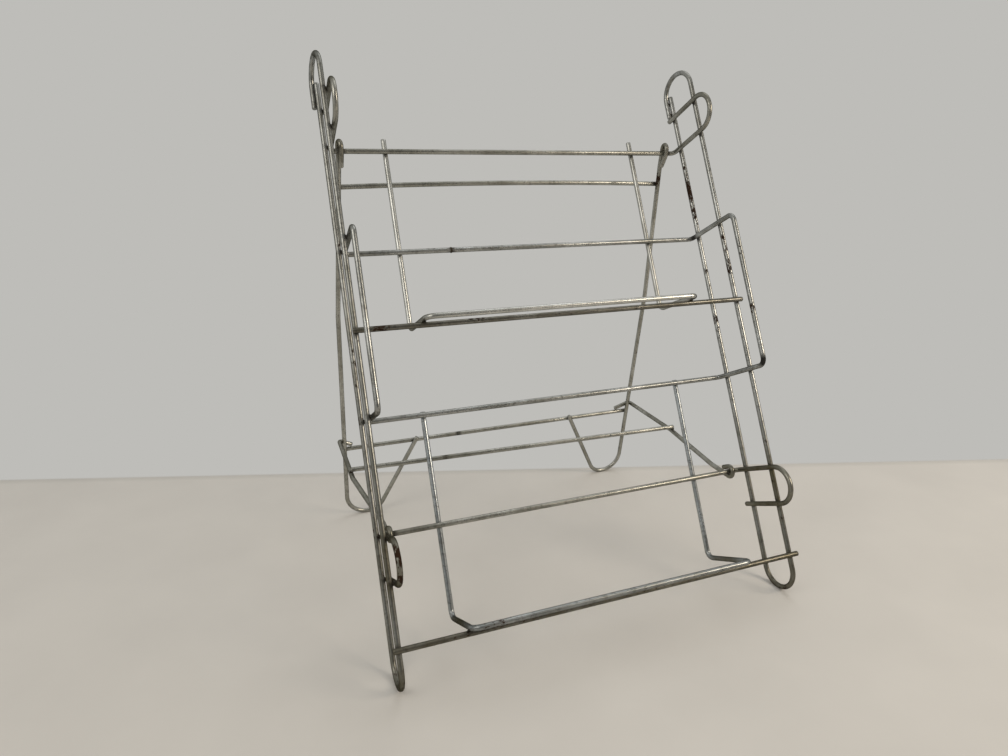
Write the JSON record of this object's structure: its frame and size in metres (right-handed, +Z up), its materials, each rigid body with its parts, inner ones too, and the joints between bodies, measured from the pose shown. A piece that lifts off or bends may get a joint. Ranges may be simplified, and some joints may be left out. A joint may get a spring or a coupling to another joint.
{
  "type": "periodical display rack",
  "caption": "Folding wire display rack: a leaning front frame with open shelf pockets for newspapers or magazines, propped by hinged rear legs and a hooked brace.",
  "frame": {"origin": "on the floor, under the middle of the rack's width and depth", "axes": "+X to the right seen from the front, the open front faces -Y, +Z up"},
  "size_m": [0.39, 0.3248, 0.4936],
  "materials": {
    "zinc_wire": "dull zinc plating with rust spots",
    "bright_wire": "brighter zinc plating",
    "tarnished_wire": "tarnished zinc plating"
  },
  "bodies": {
    "front_frame": {"left_side_loop": "zinc_wire", "right_side_loop": "zinc_wire", "top_bar_with_ears": "tarnished_wire", "side_guard_wire": "zinc_wire", "upper_shelf_rod": "zinc_wire", "upper_shelf_wire": "bright_wire", "low_bar_with_ears": "tarnished_wire", "lower_shelf_rod": "zinc_wire", "lower_shelf_wire": "bright_wire"},
    "leg_frame": {"left_rear_leg": "tarnished_wire", "right_rear_leg": "tarnished_wire", "upper_leg_tie": "tarnished_wire", "lower_leg_tie": "tarnished_wire"},
    "brace": {"left_brace_wire": "tarnished_wire", "right_brace_wire": "tarnished_wire", "brace_spreader": "tarnished_wire"}
  },
  "joints": [
    {"name": "leg_fold", "type": "hinge", "parent": "front_frame", "child": "leg_frame", "pos_m": [-0.002, 0.08381, 0.40985], "axis": [-1, 0, 0], "range_deg": [0, 33.6]},
    {"name": "brace_fold", "type": "hinge", "parent": "front_frame", "child": "brace", "pos_m": [-0.002, -0.07067, 0.09746], "axis": [1, 0, 0], "range_deg": [0, 58.1]}
  ],
  "couplings": [
    {"joint": "brace_fold", "follows": "leg_fold", "ratio": 1.7269}
  ]
}
